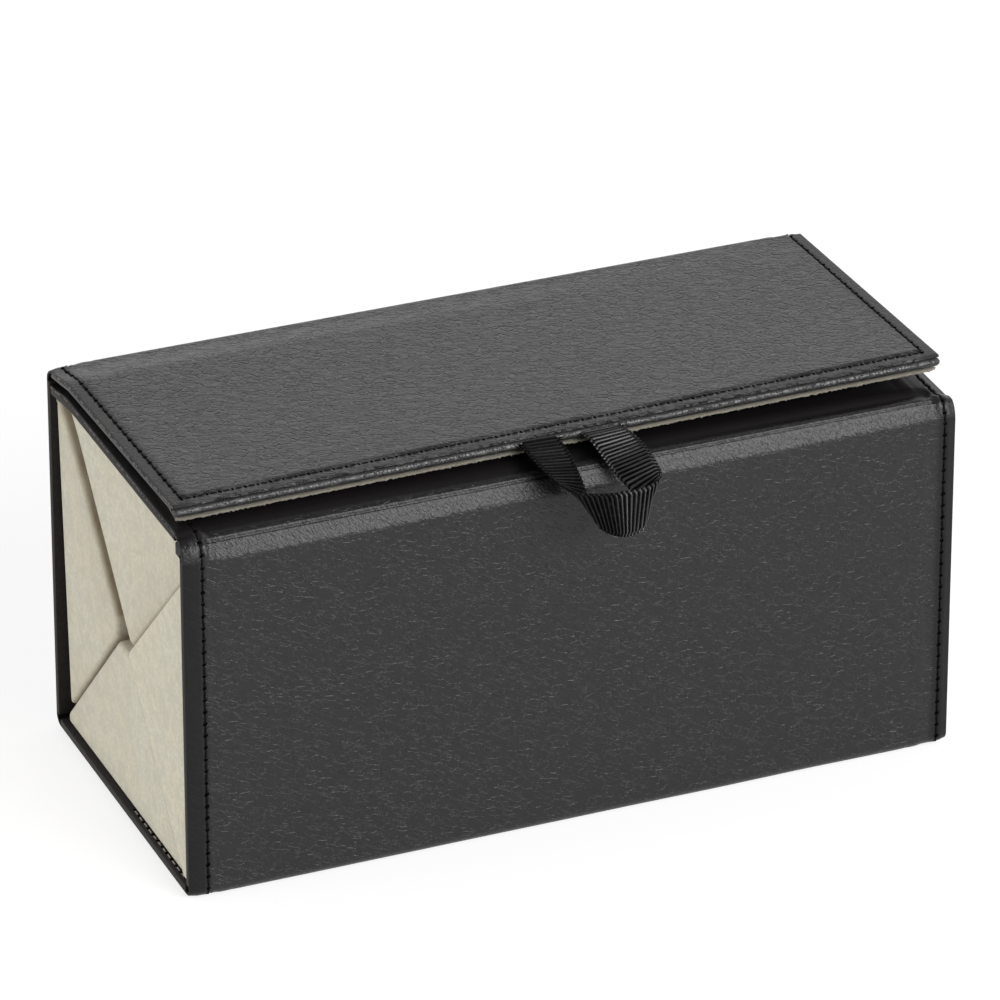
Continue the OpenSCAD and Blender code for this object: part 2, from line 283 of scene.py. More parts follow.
def leather_material(name, base, dark, rough, grain=1.0, angle=36.0, cell=(3.3, 1.7), gloss=0.5,
                     veins=0.9, width=0.11):
    """Pebbled leather: flat-topped pebbles between creases that come and go, and fine pores. It
    is wrinkled where the hide is bent ("crinkle"), smoother where it is pressed or turned
    ("calm"), brown on its cut edges ("cut"), and paler where they are worn ("wear")."""
    mat, tree, bsdf = material(name)
    hide = attribute(tree, "hide", "Vector")
    crinkle, wear, calm, cut = [attribute(tree, key) for key in ("crinkle", "wear", "calm", "cut")]
    cells = pebbles(tree, hide, angle, cell, 0.4)
    pores = noise_of(tree, cells, 4.0, 3.0, "2D")
    depth = ranged(tree, noise_of(tree, cells, 0.55, 2.0, "2D"), 0.40, 0.64, 0.1, 1.0)
    sunk = times(tree, maths(tree, "SUBTRACT", 1.0, crack(tree, cells, width)), depth)
    # Long fine creases, where a second noise passes its middle level
    long_cells = pebbles(tree, hide, angle - 2, (2.3 * cell[0], 0.9 * cell[1]), 0.5)
    level = noise_of(tree, long_cells, 1.0, 3.0, "2D")
    off = maths(tree, "ABSOLUTE", maths(tree, "SUBTRACT", level, 0.5))
    vein_depth = ranged(tree, noise_of(tree, cells, 0.8, 2.0, "2D"), 0.36, 0.52, 0.0, veins)
    sunk = maths(tree, "MAXIMUM", sunk, times(tree, ranged(tree, off, 0.0, 0.05, 1.0, 0.0), vein_depth))
    body = maths(tree, "SUBTRACT", times(tree, pores, 0.12), sunk)
    body = maths(tree, "ADD", body, times(tree, noise_of(tree, cells, 0.8, 1.0, "2D"), 0.7))
    rough_hide = maths(tree, "SUBTRACT", 1.0, calm)
    body = times(tree, body, rough_hide)
    sunk = times(tree, sunk, rough_hide)
    folds = pebbles(tree, hide, 62.0, (1.7, 0.8), 1.0)
    crumple = noise_of(tree, folds, 1.0, 3.0, "2D")
    crumple = maths(tree, "ADD", crumple, times(tree, crack(tree, folds, 0.4), 0.22))
    body = maths(tree, "ADD", body, times(tree, crumple, crinkle))
    flecks = ranged(tree, noise_of(tree, hide, 900.0, 2.0), 0.42, 0.62)
    # The creases take the second colour: where it is lighter than the base it is a painted highlight on
    # the crease walls, where darker it is painted shade in the creases
    colour = mixed(tree, sunk, base, dark)
    colour = mixed(tree, cut, colour, CUT_BROWN)
    colour = mixed(tree, times(tree, wear, flecks, clamp=True), colour, WORN_BEIGE)
    rough_out = ranged(tree, pores, 0.3, 0.7, rough - 0.04, rough + 0.06)
    rough_out = maths(tree, "ADD", rough_out, times(tree, cut, 0.4), clamp=True)
    shine = maths(tree, "SUBTRACT", gloss, times(tree, calm, 0.6 * gloss))
    shine = maths(tree, "ADD", shine, times(tree, crinkle, 0.55 * gloss))
    set_inputs(tree, bsdf, {"Base Color": colour, "Roughness": rough_out, "Specular IOR Level": shine,
                            "Normal": bumped(tree, body, 1.0, GRAIN_DEPTH * grain)})
    return mat


def suede_material(name, base, warm, shade_tint=(0.21, 0.13, 0.065, 1)):
    """Short nap: flecks and brushed patches, clouds of a warmer tone, and painted shade mixed with
    soiling, in a given tint, where the mesh asks for it.
    """
    mat, tree, bsdf = material(name)
    place = node(tree, "ShaderNodeTexCoord").outputs["Object"]
    patch = ranged(tree, noise_of(tree, place, 70.0, 4.0), 0.42, 0.62)
    brushed = noise_of(tree, place, 260.0, 3.0)
    nap = noise_of(tree, place, 900.0, 4.0, rough=0.7)
    deep = (0.80 * base[0], 0.80 * base[1], 0.82 * base[2], 1)
    pale = tuple(1.10 * c for c in base[:3]) + (1,)
    colour = mixed(tree, patch, base, warm)
    colour = mixed(tree, ranged(tree, brushed, 0.35, 0.62, 0.6, 0.0), colour, deep)
    colour = mixed(tree, ranged(tree, nap, 0.36, 0.60, 0.75, 0.0), colour, deep)
    colour = mixed(tree, ranged(tree, nap, 0.56, 0.74, 0.0, 0.6), colour, pale)
    # Painted shade, tinted like soiling: a mesh attribute says how far the tint covers the nap
    shade_and_soil = attribute(tree, "shade_and_soil")
    shade_share = times(tree, shade_and_soil, ranged(tree, nap, 0.3, 0.7, 0.75, 1.05), clamp=True)
    height = maths(tree, "ADD", nap, times(tree, brushed, 0.7))
    set_inputs(tree, bsdf, {"Base Color": mixed(tree, shade_share, colour, shade_tint), "Roughness": 0.95,
                            "Specular IOR Level": 0.15, "Sheen Weight": 0.12,
                            "Sheen Roughness": 0.45,
                            "Normal": bumped(tree, height, 0.6, 0.3 * MM)})
    return mat


def plain_material(name, colour, dark, rough, scale, metal=0.0, bump_mm=0.05, gloss=0.5):
    """A simple finish with fine mottling and relief."""
    mat, tree, bsdf = material(name)
    fine = noise_of(tree, node(tree, "ShaderNodeTexCoord").outputs["Object"], scale, 4.0)
    set_inputs(tree, bsdf, {"Base Color": mixed(tree, ranged(tree, fine, 0.35, 0.65), dark, colour),
                            "Normal": bumped(tree, fine, 0.6, bump_mm * MM), "Roughness": rough,
                            "Metallic": metal, "Specular IOR Level": gloss})
    return mat


def ribbon_material():
    """Black satin grosgrain: the ribs are modelled, so this adds the threads and painted shade, darker
    and less glossy, in the valleys between the ribs.
    """
    mat, tree, bsdf = material("grosgrain")
    weave = attribute(tree, "hide", "Vector")
    threads = node(tree, "ShaderNodeTexWave", {"Vector": weave, "Scale": 900.0,
                   "Distortion": 0.6, "Detail": 1.0}, wave_type="BANDS",
                   bands_direction="Y").outputs["Fac"]
    # Painted shade: low values darken the colour and cut the shine
    rib_shading = attribute(tree, "rib_shading")
    lint = noise_of(tree, weave, 700.0, 3.0)
    colour = mixed(tree, rib_shading, (0.0006, 0.0006, 0.0006, 1), (0.009, 0.0085, 0.009, 1))
    colour = mixed(tree, ranged(tree, lint, 0.55, 0.75, 0.0, 0.4), colour, (0.03, 0.029, 0.03, 1))
    set_inputs(tree, bsdf, {"Base Color": colour, "Roughness": 0.40,
                            "Normal": bumped(tree, threads, 0.35, 0.05 * MM),
                            "Specular IOR Level": ranged(tree, rib_shading, 0.25, 0.8, 0.03, 0.62)})
    return mat


# Crease colours: lighter than the base on black_leather, a painted highlight; darker on the flap and
# piping, painted shade
LEATHER = leather_material("black_leather", (0.0055, 0.0045, 0.0050, 1),
                           (0.016, 0.0145, 0.0152, 1), rough=0.38, angle=36.0, gloss=0.41)
FLAP_LEATHER = leather_material("flap_leather_finish", (0.0065, 0.0058, 0.006, 1),
                                (0.0035, 0.003, 0.003, 1), rough=0.40, grain=2.4,
                                angle=23.0, cell=(3.3, 2.1), veins=0.5, width=0.15)
PIPING = leather_material("piping_leather", (0.005, 0.0045, 0.005, 1), (0.003, 0.003, 0.003, 1),
                          rough=0.42, grain=1.5, angle=70.0, cell=(1.5, 0.9),
                          gloss=1.0)
INNER = plain_material("inner_leather", (0.014, 0.011, 0.009, 1), (0.007, 0.0055, 0.0045, 1),
                       0.7, 900.0, bump_mm=0.08, gloss=0.3)
SUEDE = suede_material("suede", (0.56, 0.532, 0.428, 1), (0.57, 0.525, 0.40, 1))
# The lining is a darker, greyer copy of the tray suede: painted shade for its strip under the flap
SHADED_LINING = suede_material("lining_suede", (0.42, 0.40, 0.325, 1), (0.43, 0.395, 0.305, 1),
                        shade_tint=(0.10, 0.087, 0.075, 1))
BOARD = plain_material("grey_board", (0.27, 0.21, 0.14, 1), (0.20, 0.15, 0.10, 1), 0.9, 420.0)
STEEL = plain_material("nickel_steel", (0.60, 0.60, 0.60, 1), (0.48, 0.48, 0.49, 1),
                       0.32, 240.0, metal=1.0, bump_mm=0.02)
THREAD = plain_material("thread", (0.005, 0.004, 0.0035, 1), (0.002, 0.002, 0.002, 1),
                        0.7, 5000.0, bump_mm=0.05, gloss=0.15)
# Needle holes are near-black blobs: painted shade standing for the dark inside of the holes
HOLE_SHADE = plain_material("needle_hole_shade", (0.002, 0.0015, 0.001, 1), (0.001, 0.001, 0.001, 1),
                      0.9, 2000.0, gloss=0.02)
# Pale thread for the inside seam: painted highlight for the glints on those stitches
INNER_GLINT_THREAD = plain_material("glint_inner_thread", (0.40, 0.37, 0.31, 1), (0.16, 0.14, 0.12, 1),
                              0.6, 5000.0, bump_mm=0.05)
RIBBON = ribbon_material()


# ---------- leather shells ----------
class Track:
    """A line in Y and Z that the outside of a panel follows, with its outward normals."""

    def __init__(self, points, start=0.0, step=PITCH / 4, stations=None):
        length = lengths_along(points)
        at = np.linspace(0, length[-1], max(2, int(round(length[-1] / step)) + 1))
        if stations is not None:
            at = stations(at, length[-1])
        self.yz = sampled(at, length, points)
        tangent = np.gradient(self.yz, at, axis=0)
        tangent /= np.linalg.norm(tangent, axis=1)[:, None]
        self.normal = np.column_stack([tangent[:, 1], -tangent[:, 0]])
        self.s = at + start
        self.end = self.s[-1]


def arc(centre, r, a0, a1, n=10):
    """Points on an arc in Y and Z; angles in degrees from +Y towards +Z."""
    angles = np.radians(np.linspace(a0, a1, n))
    return [(centre[0] + r * math.cos(a), centre[1] + r * math.sin(a)) for a in angles]


def x_stations(half, inner_step=4 * MM, dense=16 * MM, step=0.4 * MM):
    """Stations along X: close together over the stitched borders, wide apart between them."""
    left = np.arange(-half, -half + dense, step)
    middle = np.linspace(-half + dense, half - dense, int(2 * (half - dense) / inner_step))
    return np.concatenate([left, middle, -left[::-1]])


def border_relief(x, s):
    """Height of the leather over its plain face: the step off the board, the seam's groove with a pit
    at each needle hole, a faint rise beside it, the drop to the rounded end, and two shallow grooves."""
    a = np.abs(x)
    seam = np.abs(x - SEAM_SHIFT) - STITCH_X
    height = -0.24 * MM * smooth((a - BORDER_X + 1.0 * MM) / (1.6 * MM))
    beat = 0.5 + 0.5 * np.cos(2 * math.pi * s / PITCH)
    height = height - (0.14 + 0.26 * beat) * MM * bump_line(seam, 0.5 * MM)
    height = height + 0.07 * MM * bump_line(np.abs(seam) - 1.2 * MM, 0.5 * MM)
    height = height - 0.45 * MM * smooth((a - HALF_W + 3.2 * MM) / (3.4 * MM))
    for inward, dip in ((8.6, 0.09), (12.6, 0.07)):
        height = height - dip * MM * bump_line(a - HALF_W + inward * MM, 0.8 * MM)
    return height


def leather_shell(name, track, finish, relief, over_board=None, thick=LEATHER_T,
                  crinkle=lambda x, s: 0 * x, calm=lambda x, s: 0 * x, wear=lambda s: 0.04):
    """A closed leather sheet along a track, or along the track over_board where there is a
    board under it. Its ends in X are rounded cut edges."""
    r = thick / 2
    end = HALF_W - r
    outer_x, inner_x = x_stations(end), np.linspace(end, -end, 60)
    turn = np.radians([60, 30, 0, -30, -60])
    loop_x = np.concatenate([outer_x, end + r * np.cos(turn), inner_x, -end - r * np.cos(turn)])
    right = slice(len(outer_x), len(outer_x) + len(turn))
    inside = slice(right.stop, right.stop + len(inner_x))
    left = slice(inside.stop, len(loop_x))
    X = np.broadcast_to(loop_x, (len(track.s), len(loop_x)))
    S = track.s[:, None] + 0 * X
    N = relief(X, S - track.s[0])
    N[:, right] = N[:, right.start - 1:right.start]
    N[:, left] = N[:, :1]
    N[:, inside] = -2 * r
    N[:, right] += -r + r * np.sin(turn)
    N[:, left] += -r + r * np.sin(turn[::-1])
    Y = track.yz[:, :1] + track.normal[:, :1] * N
    Z = track.yz[:, 1:] + track.normal[:, 1:] * N
    if over_board is not None:
        w = 1 - smooth((np.abs(X - SEAM_SHIFT) - STITCH_X + 3.4 * MM) / (2.6 * MM))
        Y = (1 - w) * Y + w * (over_board.yz[:, :1] + over_board.normal[:, :1] * N)
        Z = (1 - w) * Z + w * (over_board.yz[:, 1:] + over_board.normal[:, 1:] * N)
    cut = 0 * X
    cut[:, right] = (0, 0.5, 1, 1, 1)
    cut[:, left] = (1, 1, 1, 0.5, 0)
    pressed = np.maximum(0.8 * smooth((np.abs(X) - BORDER_X - 1 * MM) / (3 * MM)), calm(X, S))
    return new_piece(name, np.stack([X, Y, Z], -1).reshape(-1, 3), ring_faces(*X.shape), finish,
                     {"hide": np.stack([X, S, 0 * X], -1).reshape(-1, 3),
                      "wear": (cut ** 2 * wear(S)).ravel(), "cut": cut.ravel(),
                      "crinkle": crinkle(X, S).ravel(), "calm": pressed.ravel()})


def spline(points, per=10):
    """A smooth line through the points."""
    p = np.array(points, float)
    p = np.vstack([2 * p[0] - p[1], p, 2 * p[-1] - p[-2]])
    out = []
    for a, b, c, d in zip(p[:-3], p[1:-2], p[2:-1], p[3:]):
        for t in np.linspace(0, 1, per, endpoint=False):
            out.append(0.5 * ((2 * b) + (c - a) * t + (2 * a - 5 * b + 4 * c - d) * t ** 2
                              + (-a + 3 * b - 3 * c + d) * t ** 3))
    out.append(p[-2])
    return np.array(out)


def at_corner(table):
    """A line through points given in mm behind the front face and above the lid's top."""
    return [(Y_FRONT + back * MM, Z_LID + up * MM) for back, up in spline(table)]


def run_of(line):
    return float(lengths_along(line)[-1])


# The wrap of the case: over the inner lid, down the front and under the bottom
LOW_R = 3.2 * MM
lid_end = lid_hi.y
# At the borders, where there is no board, the hide rounds the corner
CORNER = [(14, 0), (9, 0), (5.8, -0.3), (3.5, -1.4), (1.6, -3.3), (0.45, -5.7), (0, -8.6), (0, -12)]
corner_line = at_corner(CORNER)
lid_run = lid_end - Y_FRONT - CORNER[0][0] * MM
plain_run = run_of(corner_line)
s_corner = lid_run + plain_run / 2
case_points = ([(lid_end, Z_LID)] + corner_line
               + arc((Y_FRONT + LOW_R, LOW_R), LOW_R, 180, 270, 12)
               + [(Y_BACK - FOLD_R, 0.0)])


def close_at_corner(at, total):
    """Stations along the hide, close together round the corner of lid and front."""
    near = np.arange(s_corner - 16 * MM, s_corner + 14 * MM, 0.3 * MM)
    far = at[(at < near[0] - 0.4 * MM) | (at > near[-1] + 0.4 * MM)]
    return np.sort(np.concatenate([far, near]))


case_track = Track(case_points, stations=close_at_corner)

# Over the boards the hide slopes from the lid down to the hinge crease, then rolls over the top of
# the front board
CREASE = [(14, 0), (11, -0.1), (8, -0.7), (5.5, -1.5), (4.3, -1.95), (3.5, -2.6), (3.15, -3.6),
          (2.75, -3.5), (2.35, -3.4), (1.95, -4.0), (1.2, -5.55), (0.52, -6.95), (0.14, -7.8),
          (0.0, -8.8), (0, -12)]
crease_line = at_corner(CREASE)
board_points = ([case_points[0]] + crease_line
                + arc((Y_FRONT + LOW_R, LOW_R), LOW_R, 180, 270, 12) + [case_points[-1]])
crease_run = run_of(crease_line)


def beside_plain(at, total):
    """Stations on the creased path beside those of the plain one."""
    return np.interp(case_track.s, [0, lid_run, lid_run + plain_run, case_track.end],
                     [0, lid_run, lid_run + crease_run, total])


board_track = Track(board_points, stations=beside_plain)


def crease_crinkle(x, s):
    """1 over the roll between the crease and the front face."""
    down = (s - lid_run) / plain_run
    return smooth((down - 0.47) / 0.03) * (1 - smooth((down - 0.76) / 0.06))


def pressed_lid(x, s):
    """The lid's leather is smooth beside the crease, and its grain is stretched out over the roll."""
    before = s_corner - s
    lid = smooth((lid_run + 0.42 * plain_run - s) / (1 * MM))
    lid = lid * (1 - smooth((before - 16 * MM) / (34 * MM)))
    return np.maximum(lid, crease_crinkle(x, s))


def slow_waves(x, s, amount=0.13 * MM):
    return amount * wavy(x, s, 0 * x, 30 * MM, 3.1)


def case_relief(x, s):
    return border_relief(x, s) + slow_waves(x, s) * (1 - smooth((np.abs(x) - BORDER_X) / (3 * MM)))


wrap = leather_shell("wrap_leather", case_track, LEATHER, case_relief, board_track,
                     crinkle=crease_crinkle, calm=pressed_lid,
                     wear=lambda s: 0.03 + 0.75 * (s < s_corner))
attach(wrap, "case")
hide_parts("inner_lid_leather", "front_top_fold", "front_leather", "front_bottom_fold",
            "bottom_leather")

# The back: a fold at the hinge, the panel, and the fold up to the flap
low_fold = Track(arc((Y_BACK - FOLD_R, FOLD_R), FOLD_R, 270, 360, 16), case_track.end)
back_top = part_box("back_top_fold")[0].z
back_track = Track([(Y_BACK, FOLD_R), (Y_BACK, back_top)], low_fold.end)
high_fold = Track(arc((Y_BACK - FOLD_R, back_top), FOLD_R, 0, 90, 16), back_track.end)

back_fold = leather_shell("back_hinge_leather", low_fold, LEATHER, border_relief)
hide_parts("back_bottom_fold")
back_cover = leather_shell("back_cover", back_track, LEATHER, case_relief)
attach(back_cover, "back")
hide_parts("back_leather")
flap_fold = leather_shell("flap_hinge_leather", high_fold, FLAP_LEATHER, border_relief)
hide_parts("back_top_fold")


# ---------- flap ----------
LIP_R = 0.6 * MM
FLAP_T = 1.1 * MM
lip_y = FLAP_FRONT + 0.95 * MM
flap_points = ([(FLAP_BACK, FLAP_TOP)]
               + arc((lip_y + LIP_R, FLAP_TOP - LIP_R), LIP_R, 90, 180, 6)
               + [(lip_y, FLAP_TOP - 0.9 * MM)])
flap_track = Track(flap_points, high_fold.end, step=0.8 * MM)


def flap_relief(x, s):
    """Seam on three sides, a faint step off the board, and a slow bow."""
    from_front = flap_track.end - flap_track.s[0] - 1.0 * MM - s
    side = HALF_W - np.abs(x)
    inside = smooth((side - FLAP_SEAM_IN) / (0.8 * MM))
    along = smooth((from_front - FLAP_SEAM_IN) / (0.8 * MM))
    beat_s = 0.5 + 0.5 * np.cos(2 * math.pi * s / PITCH)
    beat_x = 0.5 + 0.5 * np.cos(2 * math.pi * x / PITCH)
    seam = (0.1 + 0.22 * beat_s) * bump_line(side - FLAP_SEAM_IN, 0.5 * MM) * along
    seam = np.maximum(seam, (0.1 + 0.22 * beat_x)
                      * bump_line(from_front - FLAP_SEAM_IN, 0.5 * MM) * inside)
    swell = 0.2 * inside * along
    waves = 0.16 * wavy(x, s, 0 * x, 34 * MM, 8.2) * inside * along
    return MM * (swell + waves - seam - 0.12)


flap_cover = leather_shell("flap_cover", flap_track, FLAP_LEATHER, flap_relief, thick=FLAP_T,
                           wear=lambda s: 0.7 + 0 * s)
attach(flap_cover, "flap")
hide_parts("flap_leather")


def rod_along_x(x0, x1, centre, radii, count, sides, round_end, tip, swell):
    """Rings of a rod along X with rounded ends, and their hide coordinates; swell(x, angle)
    scales it, and tip is its least thickness at the ends."""
    rows, hide = [], []
    for x in np.linspace(x0, x1, count):
        near = min(1.0, min(x - x0, x1 - x) / round_end)
        scale = max(tip, math.sqrt(max(0.0, 1 - (1 - near) ** 2)))
        for a in np.linspace(0, 2 * math.pi, sides, endpoint=False):
            k = scale * swell(x, a)
            rows.append((x, centre[0] + radii[0] * k * math.cos(a),
                         centre[1] + radii[1] * k * math.sin(a)))
            hide.append((x, a * radii[1], 0))
    return rows, hide


def piping_swell(x, a):
    return 1 + 0.05 * noise.noise(Vector((x / (1.6 * MM), 2 * math.cos(a), 2 * math.sin(a))))


PIPE_R = (1.35 * MM, 1.3 * MM)
PIPE_HALF = HALF_W + 0.25 * MM
PIPE_RINGS, PIPE_SIDES = 460, 20
pipe_centre = (FLAP_FRONT + PIPE_R[0], FLAP_TOP - 1.02 * MM - PIPE_R[1])
pipe_co, pipe_hide = rod_along_x(-PIPE_HALF, PIPE_HALF, pipe_centre, PIPE_R, PIPE_RINGS, PIPE_SIDES,
                                 2.0 * MM, 0.05, piping_swell)
piping = new_piece("flap_piping", pipe_co, ring_faces(PIPE_RINGS, PIPE_SIDES), PIPING,
                   {"hide": pipe_hide}, angle=60)
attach(piping, "flap")


def slab(parts, low, high, r=0.5 * MM, step=6 * MM):
    """A bar along Y with rounded long edges, sliced so that it can settle."""
    ys = np.linspace(low[1], high[1], max(2, int((high[1] - low[1]) / step)))
    profile = []
    for cx, cz, a0 in ((high[0] - r, high[2] - r, 0), (low[0] + r, high[2] - r, 90),
                       (low[0] + r, low[2] + r, 180), (high[0] - r, low[2] + r, 270)):
        for a in np.radians(np.linspace(a0, a0 + 90, 5)):
            profile.append((cx + r * math.cos(a), cz + r * math.sin(a)))
    verts = [(px, y, pz) for y in ys for px, pz in profile]
    parts.add(verts, ring_faces(len(ys), len(profile)))


under = Parts()
under_top = FLAP_TOP - FLAP_T - 0.15 * MM
for side in (-1, 1):
    x0, x1 = sorted((side * (HALF_W - 0.25 * MM), side * BORDER_X))
    slab(under, (x0, FLAP_FRONT + 2 * PIPE_R[0] + 0.2 * MM, FLAP_LOW), (x1, FLAP_BACK, under_top))
underlay = new_piece("flap_turned_border", under.co, under.faces, LEATHER, {"hide": under.hide})
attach(underlay, "flap")


# The leather turned in at the lid's ends fills the corner behind the wrap
corner = Parts()
for side in (-1, 1):
    x0, x1 = sorted((side * (HALF_W - 0.2 * MM), side * (STITCH_X + 0.4 * MM)))
    for near, far, low, high in ((2.6, 6.6, -7.2, -3.3), (1.5, 3.6, -7.6, -5.4)):
        slab(corner, (x0, Y_FRONT + near * MM, Z_LID + low * MM),
             (x1, Y_FRONT + far * MM, Z_LID + high * MM), 0.4 * MM)
turned_corner = new_piece("lid_turned_corner", corner.co, corner.faces, INNER,
                          {"hide": corner.hide})
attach(turned_corner, "case")


# Suede lining of the flap: its front edge is cut by hand and frays
LINING_SAG = 1.5 * MM                     # its free front edge hangs down


def lining_piece():
    xs = np.arange(lining_lo.x, lining_hi.x, 0.3 * MM)
    front = lining_lo.y - 0.1 * MM
    ys = np.concatenate([front + np.array([0.8, 3.0]) * MM,
                         np.linspace(front + 8 * MM, lining_hi.y, 14)])
    top, low = lining_hi.z, lining_lo.z
    thick = top - low
    # Round the section: points on the frayed front are numbered from the top, the others aren't
    loop = [(front, top - share * 0.5 * thick, k) for k, share in enumerate((0.02, 0.35, 0.68, 1.0))]
    loop += [(y, low + 0.5 * thick * math.exp(-(y - front) / (4 * MM)), None) for y in ys]
    loop += [(y, top, None) for y in ys[::-1]]
    rows, shade_and_soil, sag = [], [], []
    for x in xs:
        fray = 0.28 * noise.noise(Vector((x / (2.1 * MM), 0, 0)))
        fray += 0.22 * noise.noise(Vector((x / (0.7 * MM), 5, 0)))
        near_end = 1 - min(1.0, (lining_hi.x - abs(x)) / (2.2 * MM))
        for y, z, k in loop:
            dy = dz = 0.0
            if k is not None:
                dy = fray + 0.22 * noise.noise(Vector((x / (0.55 * MM), k * 3.7, 2)))
                dz = 0.5 * noise.noise(Vector((x / (0.7 * MM), k * 2.3, 7))) * (k / 3)
                dy += 1.2 * near_end ** 2 - 0.18 * (1 - abs(k - 1.5) / 1.5)
            inward = 1 - 0.03 * float(smooth((y - front) / (6 * MM)))
            rows.append((x * inward, y + dy * MM, z + dz * MM))
            sag.append(LINING_SAG * (1 - float(smooth((y - front) / (24 * MM)))))
            # Painted shade along the frayed front edge, under the flap
            shade_and_soil.append(0.75 * math.exp(-(y - front) / (3 * MM)))
    rows = settle(rows)
    rows[:, 2] -= sag
    return new_piece("lining_suede", rows, ring_faces(len(xs), len(loop)), SHADED_LINING,
                     {"shade_and_soil": shade_and_soil}, settled=False, angle=70)


lining = lining_piece()
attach(lining, "flap")
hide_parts("flap_lining")


# ---------- stitching ----------
def stitch_run(points, normals):
    """Threads and needle holes along a line on the leather, as Parts. Each thread dips into a
    hole at both ends."""
    points, normals = np.array(points, float), np.array(normals, float)
    length = lengths_along(points)
    threads, holes = Parts(), Parts()
    count = int(length[-1] / PITCH)

    def at(s, reach):
        """The point at a length along the line, and its normal, along and across directions."""
        p, n = sampled(s, length, points), sampled(s, length, normals)
        step = sampled(s + reach, length, points) - sampled(s - reach, length, points)
        n = n / np.linalg.norm(n)
        along = step / max(1e-9, np.linalg.norm(step))
        return p, n, along, np.cross(along, n)

    rings, sides = 7, 7
    for k in range(count):
        slant = rng.uniform(-0.12, 0.12) * MM
        verts = []
        for f in np.linspace(0, 1, rings):
            p, n, _, across = at((k + 0.1 + 0.8 * f) * PITCH, 0.1 * MM)
            arch = math.sin(math.pi * f)
            centre = p + n * (-0.42 + 0.50 * arch ** 0.6) * MM + across * slant * (2 * f - 1)
            r = THREAD_R * (0.55 + 0.45 * arch ** 0.5) * (1 + 0.08 * math.sin(9 * math.pi * f + k))
            for a in np.linspace(0, 2 * math.pi, sides, endpoint=False):
                verts.append(tuple(centre + r * (math.cos(a) * across + math.sin(a) * n)))
        threads.add(verts, ring_faces(rings, sides))
    rings, sides = 4, 10
    for k in range(count + 1):
        p, n, along, across = at(min(k * PITCH, length[-1]), 0.2 * MM)
        skew = rng.uniform(0.1, 0.5)
        size = rng.uniform(0.85, 1.15)
        verts = []
        for theta in (math.pi * (i + 0.5) / rings for i in range(rings)):
            for a in (2 * math.pi * j / sides for j in range(sides)):
                e1, e2 = math.sin(theta) * math.cos(a), math.sin(theta) * math.sin(a)
                local = (across * (0.62 * e1 + 0.1) + along * (0.46 * e2 + skew * 0.45 * e1)
                         + n * 0.17 * math.cos(theta)) * size * MM
                verts.append(tuple(p + local))
        holes.add(verts, ring_faces(rings, sides))
    return threads, holes


def seam_on_track(track, side):
    """The line of a border seam on a track: points and normals."""
    yz = track.yz - track.normal * 0.2 * MM
    count = len(track.s)
    return (np.column_stack([np.full(count, side * STITCH_X + SEAM_SHIFT), yz]),
            np.column_stack([np.zeros(count), track.normal]))


def sew(name, runs, thread=THREAD):
    """Thread and needle holes for several seam lines, as one mesh; the holes are near-black blobs,
    painted shade for the holes.
    """
    threads, holes = Parts(), Parts()
    for points, normals in runs:
        a, b = stitch_run(points, normals)
        threads.add(a.co, a.faces)
        holes.add(b.co, b.faces)
    both = Parts()
    both.add(threads.co, threads.faces)
    both.add(holes.co, holes.faces)
    obj = new_piece(name, both.co, both.faces, thread, angle=60)
    obj.data.materials.append(HOLE_SHADE)
    flags = np.zeros(len(obj.data.polygons), np.int32)
    flags[len(threads.faces):] = 1
    obj.data.polygons.foreach_set("material_index", flags)
    return obj


case_seams = [seam_on_track(case_track, side) for side in (-1, 1)]
case_thread = sew("wrap_stitching", case_seams)
back_thread = sew("back_stitching", [seam_on_track(back_track, side) for side in (-1, 1)])
# The inside of the seam shows on the bottom border, beside the tray ends; its pale thread is a painted
# highlight
panel_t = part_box("bottom_liner")[1].z
inside_seams = []
for side in (-1, 1):
    ys = np.arange(Y_FRONT + 4 * MM, 4 * MM, PITCH / 4)
    row = np.column_stack([np.full(len(ys), side * (HALF_W - 1.5 * MM)), ys,
                           np.full(len(ys), panel_t)])
    inside_seams.append((row, np.tile((0, 0, 1), (len(ys), 1))))
inside_thread = sew("inside_stitching", inside_seams, INNER_GLINT_THREAD)
for piece, body in ((case_thread, "case"), (back_thread, "back"), (inside_thread, "case")):
    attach(piece, body)
low_thread = sew("back_hinge_stitching", [seam_on_track(low_fold, side) for side in (-1, 1)])
high_thread = sew("flap_hinge_stitching",
                  [seam_on_track(high_fold, side) for side in (-1, 1)])

# Flap seam: up one side, along the front and back down the other
seam_x = HALF_W - FLAP_SEAM_IN
seam_y = FLAP_FRONT + FLAP_SEAM_IN + 0.5 * MM
seam_z = FLAP_TOP - 0.1 * MM
corners = [(-seam_x, FLAP_BACK), (-seam_x, seam_y), (seam_x, seam_y), (seam_x, FLAP_BACK)]
flap_runs = []
for a, b in zip(corners[:-1], corners[1:]):
    n = max(2, int(math.dist(a, b) / (2 * MM)))
    line = [(a[0] + (b[0] - a[0]) * i / n, a[1] + (b[1] - a[1]) * i / n, seam_z)
            for i in range(n + 1)]
    flap_runs.append((line, [(0, 0, 1)] * (n + 1)))
flap_thread = sew("flap_stitching", flap_runs)
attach(flap_thread, "flap")


# ---------- suede trays ----------
def outline_of(name):
    """The end board's outline in Y and Z, in order round it, from its CAD node."""
    me = frame["nodes"][name].data
    seen = sorted({(round(v.co.y, 5), round(v.co.z, 5)) for v in me.vertices})
    cy, cz = np.mean(seen, axis=0)
    return sorted(seen, key=lambda p: math.atan2(p[1] - cz, p[0] - cy))


def inset(points, d):
    """A convex outline moved inwards by d."""
    n = len(points)
    lines = []
    for i in range(n):
        p, q = np.array(points[i]), np.array(points[(i + 1) % n])
        t = (q - p) / np.linalg.norm(q - p)
        lines.append((p + d * np.array([-t[1], t[0]]), t))
    out = []
    for i in range(n):
        (p, t), (q, w) = lines[i - 1], lines[i]
        k = np.linalg.solve(np.column_stack([t, -w]), q - p)
        out.append(tuple(p + k[0] * t))
    return out


